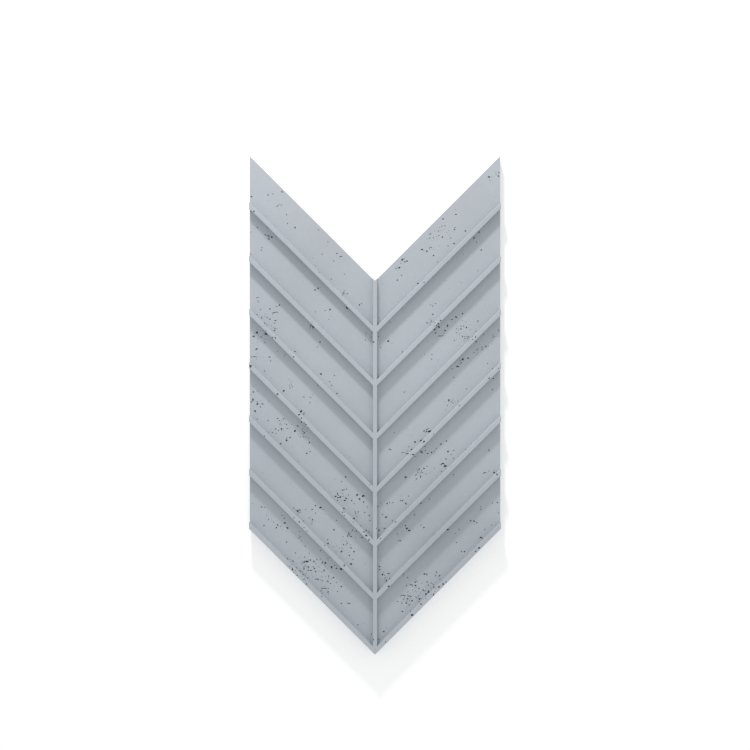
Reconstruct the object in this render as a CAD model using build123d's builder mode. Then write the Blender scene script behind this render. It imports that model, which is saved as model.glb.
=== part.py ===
from build123d import *

import os
from math import cos, radians, sin, tan

# Herringbone wall panel, cast in concrete as one piece, in millimetres.
# It lies on its back: X runs across it, +Y points to the notch, which is up on a wall,
# and +Z points out of the ribbed face. The origin is at the middle of the back.

# Driving dimensions of the outline
PANEL_WIDTH = 300.0  # side to side, over both halves
SLAT_COUNT = 7  # slats in each half
SLAT_WIDTH = 45.0  # square to the slat, from one rib's lower edge to the next
SLAT_ANGLE = 45.0  # how steeply a slat climbs from the spine to the side, in degrees
PLATE_THICKNESS = 12.0  # back to the sunk field between the ribs

# Driving dimensions of the relief
RIB_HEIGHT = 8.0  # above the field, for the ribs and the spine alike
RIB_TOP_WIDTH = 5.0  # flat top of the rib along each slat's lower edge
SPINE_TOP_WIDTH = 5.0  # flat top of the spine where the two halves meet
RIB_LEAN = 3.0  # draft of every rib wall for lifting out of the mould, in degrees
RIB_EDGE_RADIUS = 0.6  # rounding along the top edges of the ribs and the spine

# What follows from them
slat_angle = radians(SLAT_ANGLE)
half_width = PANEL_WIDTH / 2
slat_climb = half_width * tan(slat_angle)  # rise of a slat from the spine to the side
slat_pitch = SLAT_WIDTH / cos(slat_angle)  # height of a slat along the side
side_height = SLAT_COUNT * slat_pitch
tip_y = -(side_height + slat_climb) / 2
notch_y = tip_y + side_height
full_thickness = PLATE_THICKNESS + RIB_HEIGHT
wall_spread = RIB_HEIGHT * tan(radians(RIB_LEAN))  # how far a rib wall leans out at its foot
rib_reach = half_width / cos(slat_angle) + wall_spread + RIB_TOP_WIDTH + SLAT_WIDTH


def rib_section(top_width):
    """A rib's section: X across it from the lower edge of its flat top, Y up from the field."""
    with BuildSketch() as section:
        with BuildLine():
            Polyline(
                (-wall_spread, 0),
                (0, RIB_HEIGHT),
                (top_width, RIB_HEIGHT),
                (top_width + wall_spread, 0),
                close=True,
            )
        make_face()
        fillet(section.vertices().group_by(Axis.Y)[-1], RIB_EDGE_RADIUS)
    return section.sketch


# The outline has a point at the lower end and a notch of the same angle at the upper end,
# so that the point of the next panel up fits into it.
with BuildSketch() as outline:
    with BuildLine():
        right_side = Polyline(
            (0, tip_y),
            (half_width, tip_y + slat_climb),
            (half_width, notch_y + slat_climb),
            (0, notch_y),
        )
        mirror(right_side, about=Plane.YZ)
    make_face()

# The ribs of the right half: each runs up and out along its slat's lower edge,
# and is mitred on the centre line, where its twin of the left half meets it.
with BuildPart() as right_ribs:
    for slat in range(1, SLAT_COUNT + 1):
        rib_foot = Plane(
            origin=(0, notch_y - slat * slat_pitch, PLATE_THICKNESS),
            x_dir=(-sin(slat_angle), cos(slat_angle), 0),
            z_dir=(cos(slat_angle), sin(slat_angle), 0),
        )
        with BuildSketch(rib_foot):
            add(rib_section(RIB_TOP_WIDTH))
        extrude(amount=rib_reach, both=True)
    split(bisect_by=Plane.YZ, keep=Keep.TOP)

# The spine covers the mitres from the notch down to the point.
with BuildPart() as spine:
    spine_foot = Plane(
        origin=(-SPINE_TOP_WIDTH / 2, notch_y + slat_climb, PLATE_THICKNESS),
        x_dir=(1, 0, 0),
        z_dir=(0, -1, 0),
    )
    with BuildSketch(spine_foot):
        add(rib_section(SPINE_TOP_WIDTH))
    extrude(amount=slat_climb + side_height)

# The panel is the plate with the ribs and the spine on it, all trimmed to the outline.
with BuildPart() as panel:
    extrude(outline.sketch, amount=PLATE_THICKNESS)
    add(right_ribs.part)
    mirror(right_ribs.part, about=Plane.YZ)
    add(spine.part)
    extrude(outline.sketch, amount=full_thickness, mode=Mode.INTERSECT)

panel.part.label = "panel"
os.makedirs("parts", exist_ok=True)
export_step(panel.part, "parts/panel.step")
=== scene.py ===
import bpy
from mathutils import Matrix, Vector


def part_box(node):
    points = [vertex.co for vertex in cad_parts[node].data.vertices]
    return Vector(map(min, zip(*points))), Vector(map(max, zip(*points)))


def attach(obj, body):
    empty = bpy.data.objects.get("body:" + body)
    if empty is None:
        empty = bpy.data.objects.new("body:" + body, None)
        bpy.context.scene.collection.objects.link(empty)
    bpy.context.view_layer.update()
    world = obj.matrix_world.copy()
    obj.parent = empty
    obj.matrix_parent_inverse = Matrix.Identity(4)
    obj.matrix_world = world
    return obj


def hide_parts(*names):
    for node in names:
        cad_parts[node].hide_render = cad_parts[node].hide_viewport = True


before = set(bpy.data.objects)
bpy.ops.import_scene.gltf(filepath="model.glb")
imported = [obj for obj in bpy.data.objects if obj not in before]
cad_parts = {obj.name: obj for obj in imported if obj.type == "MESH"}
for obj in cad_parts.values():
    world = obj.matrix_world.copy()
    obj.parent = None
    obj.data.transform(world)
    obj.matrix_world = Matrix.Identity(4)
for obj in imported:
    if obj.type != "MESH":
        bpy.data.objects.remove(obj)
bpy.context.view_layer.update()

import math
import random

import bmesh
import bpy
from mathutils import Matrix, Vector, noise
from mathutils.bvhtree import BVHTree

# The panel lies on its back and the camera looks straight down on it, as square to its face
# as the photograph is. Lengths are in metres unless a name or comment says otherwise.
MM = 0.001

# Camera
IMAGE_SIZE = 750  # pixels each way, as in the photograph
CAMERA_PLACE = Vector((0.0, 0.0354, 1.392))
LENS_MM = 55.3
SENSOR_MM = 36.0
FOCAL_PIXELS = LENS_MM / SENSOR_MM * IMAGE_SIZE

# Light: even light from all round, and a soft lamp low above the notched end,
# a little to the left.
SKY_COLOUR = (0.982, 1.0, 1.0, 1.0)
SKY_STRENGTH = 0.79
LAMP_PLACE = Vector((-0.175, 1.35, 0.577))
LAMP_WIDTH = 0.163
LAMP_COLOUR = (1.0, 0.924, 0.911)
LAMP_WATTS = 12.6

# Floor
FLOOR_REACH = 6.0  # from the middle to each side
FLOOR_GAP_MM = 0.2  # below the panel's back, which keeps the two faces apart
FLOOR_COLOUR = (0.86, 0.86, 0.86, 1.0)
FLOOR_ROUGHNESS = 0.9
FLOOR_SPECULAR = 0.1
FLOOR_GLOW_COLOUR = (1.0, 1.0, 1.0, 1.0)
FLOOR_GLOW = 0.26  # light of its own, only where it is seen, which makes it white

# Concrete: the colours of the cast face and of the walls of its pores, what the back keeps of
# them, and the painted shade that darkens a pore's wall the deeper it lies.
FACE_COLOUR = (0.440, 0.479, 0.518)
PORE_COLOUR = (0.405, 0.479, 0.555)
BACK_SHARE = 0.96
BACK_COLOUR = [BACK_SHARE * part for part in FACE_COLOUR]
# Painted shade in the pores: deep in a pore its wall keeps only this share of its colour
PORE_PAINTED_SHADE_SHARE = 0.29
PORE_RIM_MM = 0.4  # depth at which the wall of a pore is down to that share
ROUGHNESS = (0.84, 0.94)
SPECULAR = 0.3

# Unevenness of the concrete: scale per metre, detail and roughness of a noise, and the range
# that it gives the tone.
NOISE_SPAN = (0.3, 0.7)  # holds nearly all the values of a noise
CLOUDS = (11.0, 4.0, 0.55)
CLOUD_TONE = (0.975, 1.025)
BLOTCHES = (70.0, 4.0, 0.6)
BLOTCH_TONE = (0.985, 1.015)
GRAIN = (900.0, 3.0, 0.6)
GRAIN_TONE = (0.97, 1.03)
FLOAT_MARKS = (45.0, 5.0, 0.65)
FLOAT_TONE = (0.94, 1.05)
FLOAT_STRETCH = (1.0, 0.16, 1.0)  # of the coordinates, which makes the marks long in Y

# Its finest relief: the height of the sand grain, and how many times as high the others are.
FACE_GRAIN_MM = 0.03
BACK_GRAIN_MM = 0.05
BLOTCH_RELIEF = 2.5
FLOAT_RELIEF = 6.0

# Mesh
FACE_SLOT, BACK_SLOT, PORE_SLOT = 0, 1, 2
DEPTH = "depth"  # the attribute that holds how deep a corner lies in a pore
JOIN_MM = 0.002  # corners of the CAD mesh that are no further apart become one
FLAT_DEGREES = 0.05  # faces of the CAD mesh with no sharper edge between them become one
DOWNWARD_Z = -0.9  # a face is the back if its normal's Z is less
SIDEWAYS_X = 0.9  # a face looks left or right if its normal's X is more, either way

# Air pores of the cast face, read off the photograph, as pixels across and down.
# They are grouped by width and run from the top of the left half to the bottom of the right.
WIDE_PORE_MM = 2.95
WIDE_PORES = (
    # Left half
    (257, 332.5), (266, 334), (250, 366), (301, 411.5), (295, 431), (363, 496), (320.5, 507.5),
    (297.5, 511), (354, 518.5), (307, 561.5), (351, 564), (331.5, 567), (341, 569),
    # Right half
    (429, 431.5), (445.5, 466), (389, 586.5), (412, 615),
)
BROAD_PORE_MM = 2.5
BROAD_PORES = (
    # Left half
    (271.8, 237), (347, 308), (313, 327), (253.5, 336.5), (373, 342), (321, 374), (284, 390.5),
    (277.5, 394), (257.5, 404), (255, 411), (286.5, 440.5), (357, 495), (335.5, 496.5),
    (340.5, 497), (359.5, 499), (345, 500.5), (285, 523), (287.5, 528), (366.5, 535.5),
    (328, 543.5), (341.5, 551.5), (304.5, 562), (325.5, 563), (344.5, 565.5), (292.5, 569.5),
    # Right half
    (489, 177), (422, 249.5), (402, 260), (399.5, 267.5), (456, 317), (438.5, 324), (447.5, 325.5),
    (439, 327), (388, 341), (463, 359.5), (458, 366.5), (449, 400), (421, 440.5), (424, 441.5),
    (415, 442), (448, 451.5), (421.5, 452), (413, 454.5), (443, 463.5), (494, 472.5), (497, 474.5),
    (405.5, 477.5), (386, 517), (407, 528.5), (448, 529.5), (409, 530.5), (480.5, 537.5),
    (479, 548), (424.5, 574), (382.5, 574.5), (443, 584), (415.5, 585.5), (439, 587), (428.5, 592),
    (426, 594), (419.5, 599),
)
PLAIN_PORE_MM = 1.95
PLAIN_PORES = (
    # Left half
    (282, 192), (251.5, 196.5), (254, 211.5), (295, 227.5), (265.5, 235), (268.5, 236), (269, 239),
    (337, 253.5), (318, 288.5), (315, 290), (343.5, 293), (359.5, 305), (279.5, 305), (270, 309),
    (330, 309.5), (270, 319), (275.5, 320.5), (264.5, 323.5), (311, 325.5), (274.5, 330.5),
    (272.5, 337.5), (275.5, 338), (320, 342), (256.5, 349), (295, 351.5), (254.5, 356.5),
    (293.5, 357), (269.5, 357), (253.5, 392), (337, 393.5), (253, 399.5), (262.5, 404),
    (303.5, 414), (299, 414.5), (301.5, 418), (268, 420.5), (301.5, 422), (304, 423), (306, 424.5),
    (297.5, 426), (281.5, 428.5), (275.5, 429), (290, 437.5), (309.5, 442.5), (280.5, 443.5),
    (306.5, 453.5), (345.5, 477), (337.5, 494), (338, 497.5), (346.5, 498.5), (351.5, 500.5),
    (363.5, 502), (315.5, 505.5), (261.5, 507), (344, 508.5), (312, 509.5), (299, 510),
    (369.5, 515.5), (312.5, 519.5), (299.5, 522), (277.5, 525), (264, 525.5), (276.5, 527.5),
    (334, 530), (366, 530.5), (364, 532), (348.5, 534), (347.5, 536), (351, 536.5), (362, 537.5),
    (369, 540), (286.5, 542), (351, 548), (354, 551.5), (349.5, 555.5), (287.5, 559), (310.5, 560),
    (293, 561), (314, 561.5), (322.5, 562.5), (308.5, 567), (336.5, 568.5), (314.5, 568.5),
    (304, 568.5), (324, 570.5), (311, 570.5), (315.5, 571.5), (303, 574.5), (333.5, 577.5),
    (316, 579), (318, 579.5), (328, 581.5), (306.5, 584), (341.5, 586.5), (328, 592),
    (341.5, 603.5), (373, 639.5),
    # Right half
    (498.5, 176), (456, 214.5), (443, 219), (454.5, 229.5), (465.5, 231), (479, 232), (442.5, 237),
    (474, 238), (454, 243.5), (481, 250), (427, 251), (433.5, 255.5), (407, 261), (397.5, 280),
    (418, 283.5), (462.5, 313.5), (433, 314.5), (452, 319.5), (440.5, 320.5), (478, 321),
    (466.5, 327.5), (461, 329), (434.5, 329.5), (445, 330.5), (435.5, 333), (475.5, 337),
    (476, 341.5), (486, 346.5), (468, 358), (493.5, 378.5), (489, 378.5), (430.5, 431), (424, 431),
    (426.5, 431.5), (446.5, 441), (441, 444), (411.5, 449.5), (489, 450), (427.5, 453.5),
    (446, 459), (424, 468.5), (419, 469), (416.5, 479), (497.5, 502.5), (421, 503), (406, 503.5),
    (387, 503.5), (377.5, 506.5), (470.5, 520.5), (474, 521), (395.5, 522), (405.5, 525.5),
    (424, 527.5), (384.5, 528.5), (379, 530.5), (434, 535), (482, 538), (475.5, 551.5),
    (464.5, 551.5), (379.5, 566.5), (379.5, 569.5), (427, 574.5), (439.5, 575.5), (386.5, 581),
    (427, 582), (415, 582), (434, 587), (423, 590), (433.5, 594.5), (407.5, 599), (412, 600.5),
    (406.5, 603), (421, 604), (402.5, 611.5), (384, 631.5),
)
SMALL_PORE_MM = 1.4
SMALL_PORES = (
    # Left half
    (273, 194), (268, 195), (278, 205.5), (251, 211.5), (286.5, 214.5), (287.5, 223.5),
    (257.5, 227.5), (318.5, 230), (251, 232), (328, 242), (262, 247.5), (261.5, 250), (322, 254),
    (250.5, 254), (334, 261), (344.5, 274), (331.5, 279), (347.5, 293.5), (342.5, 294.5),
    (257, 297.5), (361.5, 303.5), (276.5, 306.5), (260.5, 309.5), (325, 310.5), (315.5, 312),
    (257, 314.5), (267.5, 317.5), (261.5, 318), (274.5, 323), (276, 328.5), (366, 333), (371, 337),
    (261, 337), (365.5, 340), (265, 342.5), (317.5, 347), (277.5, 351), (284.5, 355.5),
    (251.5, 357), (270.5, 361), (264.5, 371), (334.5, 375.5), (329.5, 381.5), (331.5, 385.5),
    (317.5, 385.5), (290, 388), (257.5, 391), (304, 397), (310.5, 397.5), (251.5, 402),
    (310, 402.5), (260.5, 407), (277.5, 418.5), (257, 419), (279.5, 420.5), (286.5, 424.5),
    (287, 428.5), (278.5, 430.5), (272.5, 432.5), (304.5, 433), (264.5, 436), (304, 437),
    (300.5, 437), (287, 438), (310, 451.5), (341.5, 481.5), (370, 485), (346.5, 489), (342.5, 490),
    (348.5, 495), (337.5, 500.5), (354.5, 503.5), (367.5, 507), (264.5, 507.5), (293.5, 508),
    (323, 509.5), (358.5, 512), (364.5, 512.5), (342.5, 512.5), (300, 512.5), (315.5, 513),
    (355.5, 513.5), (344.5, 515.5), (282, 515.5), (294, 517.5), (284.5, 518), (268.5, 519.5),
    (370, 520.5), (336.5, 520.5), (303.5, 521), (361, 526), (304, 527.5), (352.5, 530.5),
    (356.5, 531), (307, 531), (299.5, 531.5), (300.5, 536.5), (299.5, 538), (327.5, 539.5),
    (347, 543.5), (343.5, 544.5), (325, 545.5), (305, 546), (320.5, 550.5), (295.5, 553),
    (304.5, 557), (320.5, 559), (353, 559.5), (317, 559.5), (334.5, 565.5), (296.5, 568),
    (308.5, 570.5), (301, 571.5), (322, 572), (297.5, 575), (307.5, 578), (303.5, 579.5),
    (322.5, 581), (336.5, 582.5), (330.5, 583.5), (321, 591), (337.5, 591.5), (322, 596.5),
    (358, 625), (371.5, 634),
    # Right half
    (498.5, 173), (445, 226), (442, 226), (455, 227.5), (438.5, 231), (430.5, 234), (439, 235.5),
    (450.5, 238), (429.5, 238), (476.5, 242), (448, 246), (404, 259), (438, 262), (405, 262),
    (396, 268.5), (401.5, 275.5), (424, 282.5), (436, 303.5), (436.5, 325), (498.5, 330),
    (456.5, 332.5), (483.5, 334.5), (462.5, 336.5), (378.5, 336.5), (493, 337), (465, 338.5),
    (472.5, 339.5), (454.5, 340.5), (380.5, 347.5), (482, 349.5), (477, 349.5), (402.5, 352),
    (474, 352.5), (477, 354), (432, 354.5), (431.5, 359), (461, 363), (487.5, 363.5),
    (498.5, 368.5), (492.5, 368.5), (452.5, 369), (454, 377.5), (466.5, 389), (492.5, 389.5),
    (404.5, 392), (458, 401), (459.5, 405.5), (447.5, 405.5), (427, 429.5), (394, 432.5),
    (433.5, 434), (425, 446.5), (409, 446.5), (436.5, 448.5), (465.5, 449.5), (453.5, 450.5),
    (425.5, 450.5), (431.5, 452.5), (451, 454.5), (415, 456.5), (453.5, 458.5), (441, 464.5),
    (427, 466.5), (489, 471), (441.5, 471.5), (422.5, 472.5), (418, 472.5), (426, 474),
    (453.5, 474.5), (416, 474.5), (420.5, 476.5), (408.5, 496), (429.5, 499), (402.5, 500.5),
    (400.5, 500.5), (393, 502.5), (389.5, 502.5), (492.5, 503), (381, 503), (480.5, 507),
    (481, 509.5), (498.5, 513), (382.5, 514.5), (414.5, 515), (392.5, 520.5), (477, 522.5),
    (491.5, 525), (421, 525), (485, 529.5), (459, 529.5), (455, 533.5), (397.5, 534),
    (380.5, 538.5), (456.5, 542.5), (461.5, 551.5), (436.5, 571.5), (403.5, 574.5), (407.5, 577.5),
    (385.5, 577.5), (389.5, 578.5), (440, 579), (446, 582), (431.5, 583), (433.5, 584.5),
    (428.5, 585), (406.5, 585.5), (419, 588.5), (419, 601.5), (397.5, 601.5), (402, 603.5),
    (409, 604.5), (410.5, 611), (379, 639.5), (385.5, 642),
)
FINE_PORE_MM = 1.0
FINE_PORES = (
    # Left half
    (281, 205.5), (327, 246), (312.5, 258), (331.5, 316.5), (258, 340), (289, 379.5), (291, 381.5),
    (253.5, 386.5), (299.5, 427), (306.5, 437), (325.5, 514.5), (266.5, 515.5), (308.5, 518),
    (312, 523), (368, 533), (301.5, 541.5), (336.5, 546), (333.5, 546.5), (358.5, 549.5),
    (290.5, 559.5), (290.5, 566.5), (363.5, 623),
    # Right half
    (496, 174.5), (490.5, 181), (447, 232.5), (449.5, 235), (436.5, 236.5), (463.5, 254.5),
    (432.5, 305.5), (466, 322), (426.5, 322), (470, 324.5), (430.5, 325), (434.5, 326), (464, 327),
    (492.5, 341), (392, 343.5), (424.5, 354.5), (438, 360), (453, 399.5), (446, 409), (412, 435.5),
    (435, 451), (435.5, 575), (375.5, 649),
)
READ_PORES = (
    (WIDE_PORE_MM, WIDE_PORES),
    (BROAD_PORE_MM, BROAD_PORES),
    (PLAIN_PORE_MM, PLAIN_PORES),
    (SMALL_PORE_MM, SMALL_PORES),
    (FINE_PORE_MM, FINE_PORES),
)

# Slits where air lay along the mould: pixels across and down, length in millimetres
# and slope in degrees, rising to the right.
SLITS = (
    (341, 256.5, 3.6, 0), (275.5, 312.5, 6.5, 3), (256.5, 349, 3.4, 35), (252.5, 400.5, 4.5, 50),
    (343.5, 490, 3.2, 25), (324, 588.5, 6.0, 8), (349, 603.5, 4.0, 0),
    (430.5, 247.5, 3.0, 0), (440.5, 336, 6.0, 5), (421.5, 452, 3.8, -35), (390, 449.5, 4.0, -15),
    (402.5, 452.5, 3.2, 0), (407, 453.5, 4.0, 5), (484.5, 473, 4.5, 25), (399.5, 540.5, 4.0, 0),
    (388.5, 573.5, 3.5, 0), (411.5, 585, 3.5, 0), (402.5, 595.5, 6.0, 5), (409.5, 596, 6.0, -15),
)
SLIT_BREADTH_MM = 1.2
SLIT_BREADTH_RANGE = (0.6, 1.15)  # what its bubbles have of that breadth
SLIT_STEP_MM = 1.3  # from one bubble of a slit to the next
SLIT_OVERLAP = 1.5  # length of a bubble in such steps
SLIT_FEWEST = 2  # bubbles in the shortest slit
SLIT_STRAY_MM = 0.3  # usual distance of a bubble from the slit's line
SLIT_SKEW = 0.3  # usual angle of a bubble to it, in radians

# Swarms of pores too fine to be read one by one: pixels across and down to the middle,
# how far the swarm reaches in pixels, and about how many pores were counted in it.
SWARMS = (
    # Left half
    (281, 205, 4, 4), (268, 236, 4, 6), (257, 301, 4, 4), (268, 318, 9, 12), (270, 327, 5, 10),
    (262, 336, 9, 24), (275.5, 339, 4, 6), (294, 347, 4, 4), (312, 325.5, 4, 8), (345, 294, 4, 4),
    (255, 356, 5, 5), (291, 384, 6, 6), (255, 401, 4, 5), (260, 405, 4, 6), (301, 416, 4, 6),
    (282, 425, 10, 24), (304, 432, 7, 28), (272, 433, 5, 5), (340, 496, 5, 8), (346, 499, 5, 8),
    (343, 511, 4, 8), (357, 514, 5, 8), (355, 524, 5, 6), (366, 532, 4, 8), (350, 534, 5, 10),
    (300, 512, 5, 8), (312, 521, 6, 8), (278, 522, 8, 10), (301, 537, 5, 5), (344, 547, 9, 10),
    (306, 564, 9, 18), (310, 570, 11, 28), (300, 572, 7, 14), (292, 566, 5, 6), (298, 574, 5, 8),
    (304, 580, 4, 6), (325, 563, 8, 12), (322, 580, 8, 10), (333, 577, 5, 5), (328, 590, 7, 8),
    # Right half
    (490, 178, 3, 4), (497, 174, 4, 6), (444, 228, 8, 7), (432, 236, 6, 9), (426, 249, 5, 4),
    (404, 260, 3, 5), (397, 268, 4, 4), (477, 241, 4, 4), (433, 304, 3, 3), (431, 322, 5, 8),
    (437, 327, 7, 16), (444, 333, 4, 5), (462, 329, 8, 18), (466, 338, 6, 14), (470, 339, 4, 6),
    (478, 350, 5, 6), (485, 345, 6, 5), (460, 363, 5, 8), (496, 334, 5, 5), (452, 402, 5, 7),
    (427, 431, 4, 8), (422, 440.5, 3, 5), (412, 450, 5, 7), (430, 452, 6, 6), (443, 464, 4, 6),
    (420, 474, 6, 20), (495, 473, 3, 5), (386, 503, 6, 6), (404, 502, 5, 5), (400, 527, 6, 7),
    (379, 531, 4, 5), (475, 521, 4, 5), (480, 549, 5, 5), (385, 577, 5, 9), (436, 575, 4, 5),
    (417, 585, 8, 15), (431, 586, 8, 14), (425, 592, 6, 12), (408, 597, 9, 26), (418, 598, 7, 16),
    (405, 605, 6, 8), (440, 586, 4, 5),
)
SWARM_PORE_MM = (0.4, 1.2)
SWARM_DENSITY = 1.5  # pores made for each one counted

# Pores strewn over each side, and their widths in millimetres.
FACE_PORES = 260
FACE_PORE_MM = (0.5, 0.6, 0.8, 1.0)
BACK_PORES = 160
EDGE_PORES = 200
HIDDEN_PORE_MM = (0.7, 0.9, 1.2, 1.6, 2.2)
STREWN_SEED = 7
OUTSIDE = 1.0  # how far out the lines start that find their places

# Broad paler and darker patches of the concrete: millimetres from the middle across and up,
# how far a patch reaches in millimetres, and its change of tone.
PATCHES = (
    (-80, 200, 100, -0.05), (110, 235, 100, -0.05), (50, 40, 110, 0.045), (-70, 0, 100, 0.03),
    (85, -160, 130, -0.075),
)


def set_inputs(node, inputs):
    """Give a node's inputs plain values, or link them to outputs of other nodes."""
    for name, value in inputs.items():
        if isinstance(value, bpy.types.NodeSocket):
            node.id_data.links.new(value, node.inputs[name])
        else:
            node.inputs[name].default_value = value


def add_node(tree, kind, inputs, **settings):
    """A new node with its settings and inputs."""
    node = tree.nodes.new(kind)
    for name, value in settings.items():
        setattr(node, name, value)
    set_inputs(node, inputs)
    return node


def combined(tree, operation, first, second):
    """What a calculation makes of two numbers."""
    made = add_node(tree, "ShaderNodeMath", {0: first, 1: second}, operation=operation)
    return made.outputs["Value"]


def mapped(tree, value, given, wanted, curve="LINEAR"):
    """A number moved from the given range into the wanted one."""
    inputs = {
        "Value": value,
        "From Min": given[0],
        "From Max": given[1],
        "To Min": wanted[0],
        "To Max": wanted[1],
    }
    made = add_node(tree, "ShaderNodeMapRange", inputs, interpolation_type=curve)
    return made.outputs["Result"]


def noise_pattern(tree, place, scale, detail, roughness, stretch=(1.0, 1.0, 1.0)):
    """A noise that fills space."""
    moved = add_node(tree, "ShaderNodeMapping", {"Vector": place, "Scale": stretch})
    inputs = {
        "Vector": moved.outputs["Vector"],
        "Scale": scale,
        "Detail": detail,
        "Roughness": roughness,
    }
    return add_node(tree, "ShaderNodeTexNoise", inputs).outputs["Fac"]


def tone_patch(tree, place, across_mm, up_mm, reach_mm, change):
    """A change of tone that fades out around its middle."""
    middle = (across_mm * MM, up_mm * MM, 0.0)
    apart = add_node(tree, "ShaderNodeVectorMath", {0: place, 1: middle}, operation="DISTANCE")
    fade = (0.0, reach_mm * MM)
    return mapped(tree, apart.outputs["Value"], fade, (1.0 + change, 1.0), "SMOOTHSTEP")


def seen_directly(tree):
    """1 where something is seen, by itself, in a reflection or through glass, and otherwise 0."""
    path = tree.nodes.new("ShaderNodeLightPath").outputs
    seen = combined(tree, "MAXIMUM", path["Is Camera Ray"], path["Is Glossy Ray"])
    return combined(tree, "MAXIMUM", seen, path["Is Transmission Ray"])


def concrete(name, colour, grain_mm, painted_shade_share=1.0, float_marks=False):
    """Fair-faced concrete: cloudy tone, fine sand grain and, where asked, marks of the float.
    Where a share is given, painted shade darkens it below a pore's rim, down to that share of its
    colour."""
    material = bpy.data.materials.new(name)
    material.use_nodes = True
    tree = material.node_tree
    place = tree.nodes.new("ShaderNodeTexCoord").outputs["Object"]
    clouds = noise_pattern(tree, place, *CLOUDS)
    blotches = noise_pattern(tree, place, *BLOTCHES)
    grain = noise_pattern(tree, place, *GRAIN)

    def spread(pattern, low, high):
        return mapped(tree, pattern, NOISE_SPAN, (low, high))

    tones = [
        spread(clouds, *CLOUD_TONE),
        spread(blotches, *BLOTCH_TONE),
        spread(grain, *GRAIN_TONE),
    ]
    tones += [tone_patch(tree, place, *patch) for patch in PATCHES]
    if float_marks:
        marks = noise_pattern(tree, place, *FLOAT_MARKS, stretch=FLOAT_STRETCH)
        tones.append(spread(marks, *FLOAT_TONE))
        relief = spread(marks, 0.0, FLOAT_RELIEF)
    else:
        relief = spread(blotches, 0.0, BLOTCH_RELIEF)
    # Painted shade in a pore: darker the deeper the corner lies, down to the given share
    if painted_shade_share < 1.0:
        depth = add_node(tree, "ShaderNodeAttribute", {}, attribute_name=DEPTH).outputs["Fac"]
        tones.append(mapped(tree, depth, (0.0, PORE_RIM_MM * MM), (1.0, painted_shade_share)))
    tone = tones[0]
    for factor in tones[1:]:
        tone = combined(tree, "MULTIPLY", tone, factor)
    tinted = add_node(tree, "ShaderNodeVectorMath", {0: colour, "Scale": tone}, operation="SCALE")
    height = combined(tree, "ADD", spread(grain, 0.0, 1.0), relief)
    bump = add_node(
        tree, "ShaderNodeBump", {"Strength": 1.0, "Distance": grain_mm * MM, "Height": height}
    )
    surface_inputs = {
        "Base Color": tinted.outputs["Vector"],
        "Roughness": spread(blotches, *ROUGHNESS),
        "Specular IOR Level": SPECULAR,
        "Normal": bump.outputs["Normal"],
    }
    set_inputs(tree.nodes["Principled BSDF"], surface_inputs)
    return material


def add_object(name, data):
    """A new object in the scene."""
    made = bpy.data.objects.new(name, data)
    bpy.context.scene.collection.objects.link(made)
    return made


def blank_panel(source, materials):
    """The panel without pores, as one closed mesh of the CAD node's shape, and its surface."""
    shape = bmesh.new()
    shape.from_mesh(source.data)
    bmesh.ops.remove_doubles(shape, verts=shape.verts, dist=JOIN_MM * MM)
    bmesh.ops.dissolve_limit(
        shape, angle_limit=math.radians(FLAT_DEGREES), verts=shape.verts, edges=shape.edges
    )
    for face in shape.faces:
        face.smooth = False
        face.material_index = BACK_SLOT if face.normal.z < DOWNWARD_Z else FACE_SLOT
    surface = BVHTree.FromBMesh(shape)
    mesh = bpy.data.meshes.new("panel_concrete")
    shape.to_mesh(mesh)
    shape.free()
    for material in materials:
        mesh.materials.append(material)
    return add_object("panel_concrete", mesh), surface


def unit_ball(subdivisions):
    """Corners and faces of an icosphere of radius 1."""
    shape = bmesh.new()
    bmesh.ops.create_icosphere(shape, subdivisions=subdivisions, radius=1.0)
    shape.verts.index_update()
    corners = [corner.co.copy() for corner in shape.verts]
    faces = [[corner.index for corner in face.verts] for face in shape.faces]
    shape.free()
    return corners, faces


def tangents(normal):
    """Two directions in a surface, of which the first is level."""
    level = Vector((1.0, 0.0, 0.0))
    if abs(normal.x) > SIDEWAYS_X:
        level = Vector((0.0, 1.0, 0.0))
    upright = normal.cross(level).normalized()
    return upright.cross(normal), upright


class CutterLayer:
    """Bubbles that stay clear of each other, so that one cut can take them all."""

    SWELL = 0.3  # how far a bubble's wall wanders in and out, as a share of its radius
    WALL_NOISE = 1.9  # scale of the noise that it follows

    def __init__(self):
        self.taken = []
        self.corners = []
        self.faces = []

    def has_room(self, centre, axes):
        """Whether a bubble stays clear of all others, measured along the line to each."""
        size = max(axis.length for axis in axes)
        for other, other_axes, other_size in self.taken:
            apart = other - centre
            distance = apart.length
            if distance > (1.0 + self.SWELL) * (size + other_size):
                continue
            if distance == 0.0:
                return False
            way = apart / distance
            reach = math.sqrt(sum(axis.dot(way) ** 2 for axis in axes))
            other_reach = math.sqrt(sum(axis.dot(way) ** 2 for axis in other_axes))
            if distance < (1.0 + self.SWELL) * (reach + other_reach):
                return False
        return True

    def add(self, centre, axes, ball, drift):
        """Add a ball stretched to the axes, with an uneven wall."""
        self.taken.append((centre, axes, max(axis.length for axis in axes)))
        corners, faces = ball
        first = len(self.corners)
        for way in corners:
            swell = 1.0 + self.SWELL * noise.noise(way * self.WALL_NOISE + drift)
            self.corners.append(
                centre + swell * (axes[0] * way.x + axes[1] * way.y + axes[2] * way.z)
            )
        self.faces += [[first + corner for corner in face] for face in faces]

    def mesh(self, name):
        """All bubbles as one mesh, which leaves the look of a pore where it cuts."""
        made = bpy.data.meshes.new(name)
        made.from_pydata(self.corners, [], self.faces)
        for polygon in made.polygons:
            polygon.material_index = PORE_SLOT
        return made


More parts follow.
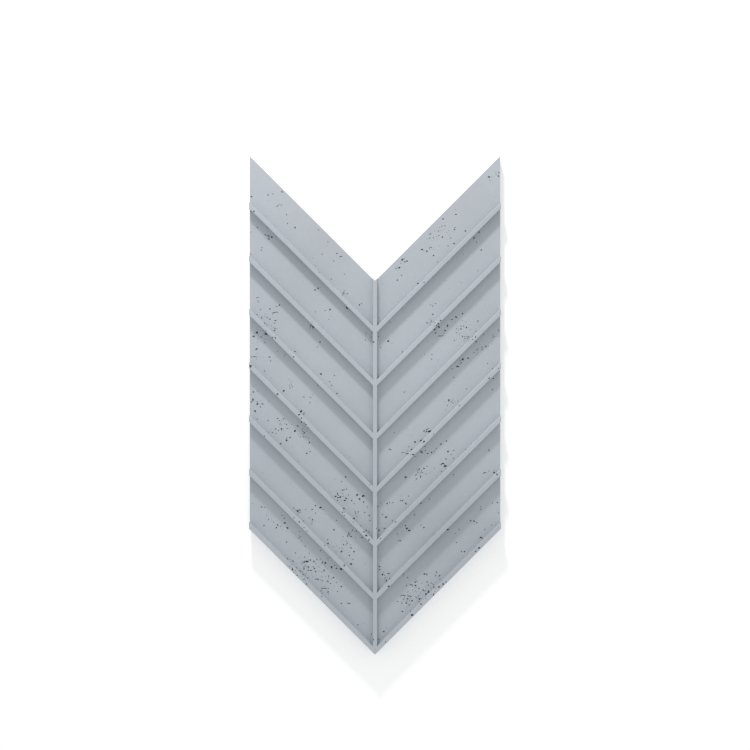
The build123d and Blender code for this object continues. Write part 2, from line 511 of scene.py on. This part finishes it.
class PoreMaker:
    """Makes the cutters of all pores. Bubbles that run into each other are in different layers,
    which are cut one after the other."""

    LAYERS = 6
    # Balls for bubbles that are shorter than a limit in millimetres
    BALLS = ((1.25, unit_ball(1)), (3.2, unit_ball(2)), (math.inf, unit_ball(3)))
    TURN = 0.6  # usual angle of a pore's length to the level, in radians
    STRETCH = (1.0, 1.8)  # length over breadth
    DEPTHS = (0.85, 1.15)  # a bubble's depth, as a share of its mean width
    SUNK = (0.3, 0.55)  # how deep its middle lies, as a share of half its depth
    DRIFT = (0, 50)  # where in its noise a wall starts

    # Lobes, which are small bubbles on a pore's rim
    LOBES = (0, 1, 1, 2)  # numbers of them, of which one is picked
    LOBED_FROM_MM = 1.1  # the width from which a pore has them
    LOBE_APART = (0.45, 0.65)  # from the pore's middle, as a share of its width
    LOBE_LENGTH = (0.4, 0.7)  # share of the pore's width
    LOBE_BREADTH = (0.6, 1.0)  # share of the lobe's length

    def __init__(self, surface):
        self.surface = surface
        self.layers = [CutterLayer() for _ in range(self.LAYERS)]

    def seen_at(self, across, down):
        """Place and normal of the face where the photograph's pixel looks at it."""
        half = IMAGE_SIZE / 2
        sight = Vector((across - half, half - down, -FOCAL_PIXELS)).normalized()
        return self.met_by(CAMERA_PLACE, sight)

    def met_by(self, start, direction):
        """Place and normal where a line from outside first meets the panel."""
        return self.surface.ray_cast(start, direction)[:2]

    def pore(self, place, normal, width_mm, rng):
        """A bubble, mostly with smaller ones on its rim, which make its mouth irregular.
        Without a place there is none."""
        if place is None:
            return
        lobes = rng.choice(self.LOBES) if width_mm >= self.LOBED_FROM_MM else 0
        turn = rng.gauss(0.0, self.TURN)
        stretch = math.sqrt(rng.uniform(*self.STRETCH))
        self.bubble(place, normal, width_mm * stretch, width_mm / stretch, turn, rng)
        level, upright = tangents(normal)
        for _ in range(lobes):
            angle = rng.uniform(0.0, math.tau)
            apart = width_mm * MM * rng.uniform(*self.LOBE_APART)
            beside = place + apart * (level * math.cos(angle) + upright * math.sin(angle))
            long_mm = width_mm * rng.uniform(*self.LOBE_LENGTH)
            short_mm = long_mm * rng.uniform(*self.LOBE_BREADTH)
            self.bubble(beside, normal, long_mm, short_mm, angle, rng)

    def slit(self, place, normal, length_mm, slope, rng):
        """Bubbles in a row, which run into each other."""
        turn = math.radians(slope)
        level, upright = tangents(normal)
        ahead = level * math.cos(turn) + upright * math.sin(turn)
        aside = normal.cross(ahead)
        count = max(SLIT_FEWEST, round(length_mm / SLIT_STEP_MM))
        for index in range(count):
            along_mm = length_mm * ((index + 0.5) / count - 0.5)
            spot = place + MM * (ahead * along_mm + aside * rng.gauss(0.0, SLIT_STRAY_MM))
            breadth_mm = SLIT_BREADTH_MM * rng.uniform(*SLIT_BREADTH_RANGE)
            skew = turn + rng.gauss(0.0, SLIT_SKEW)
            self.bubble(spot, normal, SLIT_OVERLAP * SLIT_STEP_MM, breadth_mm, skew, rng)

    def bubble(self, place, normal, long_mm, short_mm, turn, rng):
        """One hollow, sunk a little, so that its mouth is narrower than its middle."""
        deep_mm = (long_mm + short_mm) / 2 * rng.uniform(*self.DEPTHS)
        centre = place - normal * (deep_mm * MM / 2) * rng.uniform(*self.SUNK)
        turned = Matrix.Rotation(turn, 3, normal)
        level, upright = tangents(normal)
        axes = (
            turned @ level * (long_mm * MM / 2),
            turned @ upright * (short_mm * MM / 2),
            normal * (deep_mm * MM / 2),
        )
        drift = Vector([rng.uniform(*self.DRIFT) for _ in range(3)])
        ball = next(ball for limit_mm, ball in self.BALLS if long_mm < limit_mm)
        for layer in self.layers:
            if layer.has_room(centre, axes):
                layer.add(centre, axes, ball, drift)
                return


def place_read_pores(pores):
    """The pores that were read off the photograph. Each has its own seed, so that it keeps
    its shape when another one changes."""
    for width_mm, spots in READ_PORES:
        for spot in spots:
            pores.pore(*pores.seen_at(*spot), width_mm, random.Random(str(spot)))
    for across, down, length_mm, slope in SLITS:
        rng = random.Random(f"slit {across} {down}")
        pores.slit(*pores.seen_at(across, down), length_mm, slope, rng)
    for across, down, reach, count in SWARMS:
        rng = random.Random(f"swarm {across} {down}")
        for _ in range(round(SWARM_DENSITY * count)):
            spot = (rng.gauss(across, reach / 2), rng.gauss(down, reach / 2))
            pores.pore(*pores.seen_at(*spot), rng.uniform(*SWARM_PORE_MM), rng)


def strew_pores(pores, low, high):
    """Pores anywhere: fine ones on the face, and others on the back and the edges."""
    rng = random.Random(STREWN_SEED)
    sides = ((FACE_PORES, FACE_PORE_MM, 1), (BACK_PORES, HIDDEN_PORE_MM, -1))
    for count, widths_mm, side in sides:
        for _ in range(count):
            start = Vector((rng.uniform(low.x, high.x), rng.uniform(low.y, high.y), side * OUTSIDE))
            pores.pore(*pores.met_by(start, Vector((0, 0, -side))), rng.choice(widths_mm), rng)
    for _ in range(EDGE_PORES):
        angle = rng.uniform(0.0, math.tau)
        outward = Vector((math.cos(angle), math.sin(angle), 0.0))
        aside = Vector((-outward.y, outward.x, 0.0)) * rng.uniform(low.y, high.y)
        start = outward * OUTSIDE + aside + Vector((0.0, 0.0, rng.uniform(low.z, high.z)))
        pores.pore(*pores.met_by(start, -outward), rng.choice(HIDDEN_PORE_MM), rng)


def cut_pores(panel, layers, materials):
    """Cut the bubbles out of the panel, one layer after the other."""
    cutters = []
    for number, layer in enumerate(layers):
        name = f"pores_{number}"
        cutter = add_object(name, layer.mesh(name))
        for material in materials:
            cutter.data.materials.append(material)
        carve = panel.modifiers.new(name, "BOOLEAN")
        carve.operation = "DIFFERENCE"
        carve.solver = "MANIFOLD"
        carve.object = cutter
        cutters.append(cutter)
    bpy.context.view_layer.update()
    carved = panel.evaluated_get(bpy.context.evaluated_depsgraph_get())
    panel.data = bpy.data.meshes.new_from_object(carved)
    panel.modifiers.clear()
    for cutter in cutters:
        bpy.data.objects.remove(cutter)


def separate_shells(shape):
    """The corners of each connected shell, with the largest one last."""
    unseen = set(shape.verts)
    shells = []
    while unseen:
        shell = [unseen.pop()]
        for corner in shell:
            for edge in corner.link_edges:
                neighbour = edge.other_vert(corner)
                if neighbour in unseen:
                    unseen.remove(neighbour)
                    shell.append(neighbour)
        shells.append(shell)
    return sorted(shells, key=len)


def doubled_faces(shape):
    """Faces that lie back to back on the same corners."""
    face_on = {}
    doubled = []
    for face in shape.faces:
        corners = frozenset(face.verts)
        if corners in face_on:
            doubled += [face, face_on[corners]]
        face_on[corners] = face
    return doubled


def tidy_cut(mesh):
    """Delete the crumbs that pores running into each other cut loose, and split the rest
    into triangles."""
    shape = bmesh.new()
    shape.from_mesh(mesh)
    for crumb in separate_shells(shape)[:-1]:
        bmesh.ops.delete(shape, geom=crumb, context="VERTS")
    bmesh.ops.triangulate(shape, faces=shape.faces, ngon_method="BEAUTY")
    bmesh.ops.delete(shape, geom=doubled_faces(shape), context="FACES")
    shape.to_mesh(mesh)
    shape.free()
    for polygon in mesh.polygons:
        polygon.use_smooth = polygon.material_index == PORE_SLOT


def note_depth(mesh, surface):
    """Store how deep each corner lies below the surface that the pores are cut into, which sets the
    painted shade in the pores.
    """
    depths = mesh.attributes.new(DEPTH, "FLOAT", "POINT")
    for corner, depth in zip(mesh.vertices, depths.data):
        depth.value = surface.find_nearest(corner.co)[3]


def make_panel():
    """The CAD shape with the pores cut into it."""
    materials = (
        concrete("concrete_face", FACE_COLOUR, FACE_GRAIN_MM),
        concrete("concrete_back", BACK_COLOUR, BACK_GRAIN_MM, float_marks=True),
        # The pore material darkens with depth: painted shade in the hollows
        concrete("concrete_pore_painted_shade", PORE_COLOUR, FACE_GRAIN_MM, painted_shade_share=PORE_PAINTED_SHADE_SHARE),
    )
    panel, surface = blank_panel(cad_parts["panel"], materials)
    pores = PoreMaker(surface)
    place_read_pores(pores)
    strew_pores(pores, *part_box("panel"))
    cut_pores(panel, pores.layers, materials)
    tidy_cut(panel.data)
    note_depth(panel.data, surface)
    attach(panel, "root")
    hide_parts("panel")


def make_floor():
    """A white floor, which is seen as white and keeps the panel's shadow."""
    white = bpy.data.materials.new("white_floor")
    white.use_nodes = True
    tree = white.node_tree
    surface_inputs = {
        "Base Color": FLOOR_COLOUR,
        "Roughness": FLOOR_ROUGHNESS,
        "Specular IOR Level": FLOOR_SPECULAR,
        "Emission Color": FLOOR_GLOW_COLOUR,
        "Emission Strength": combined(tree, "MULTIPLY", seen_directly(tree), FLOOR_GLOW),
    }
    set_inputs(tree.nodes["Principled BSDF"], surface_inputs)
    mesh = bpy.data.meshes.new("floor")
    sides = ((-1, -1), (1, -1), (1, 1), (-1, 1))
    mesh.from_pydata(
        [(FLOOR_REACH * x, FLOOR_REACH * y, 0.0) for x, y in sides], [], [(0, 1, 2, 3)]
    )
    mesh.materials.append(white)
    floor = add_object("floor", mesh)
    floor.location.z = -FLOOR_GAP_MM * MM


def make_sky():
    """Even light from all round, which is seen as white."""
    world = bpy.data.worlds.new("studio")
    world.use_nodes = True
    tree = world.node_tree
    strength = mapped(tree, seen_directly(tree), (0.0, 1.0), (SKY_STRENGTH, 1.0))
    set_inputs(tree.nodes["Background"], {"Color": SKY_COLOUR, "Strength": strength})
    bpy.context.scene.world = world


def make_lamp():
    """A soft lamp that shines on the middle of the face."""
    lamp_data = bpy.data.lights.new("key", "AREA")
    lamp_data.shape = "DISK"
    lamp_data.size = LAMP_WIDTH
    lamp_data.color = LAMP_COLOUR
    lamp_data.energy = LAMP_WATTS
    lamp = add_object("key", lamp_data)
    lamp.location = LAMP_PLACE
    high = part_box("panel")[1]
    aim = Vector((0.0, 0.0, high.z)) - LAMP_PLACE
    lamp.rotation_euler = aim.to_track_quat("-Z", "Y").to_euler()


def make_camera():
    """A camera that looks straight down."""
    camera_data = bpy.data.cameras.new("camera")
    camera_data.lens = LENS_MM
    camera_data.sensor_width = SENSOR_MM
    camera = add_object("camera", camera_data)
    camera.location = CAMERA_PLACE
    bpy.context.scene.camera = camera


make_panel()
make_floor()
make_sky()
make_lamp()
make_camera()
bpy.context.scene.view_settings.view_transform = "Standard"
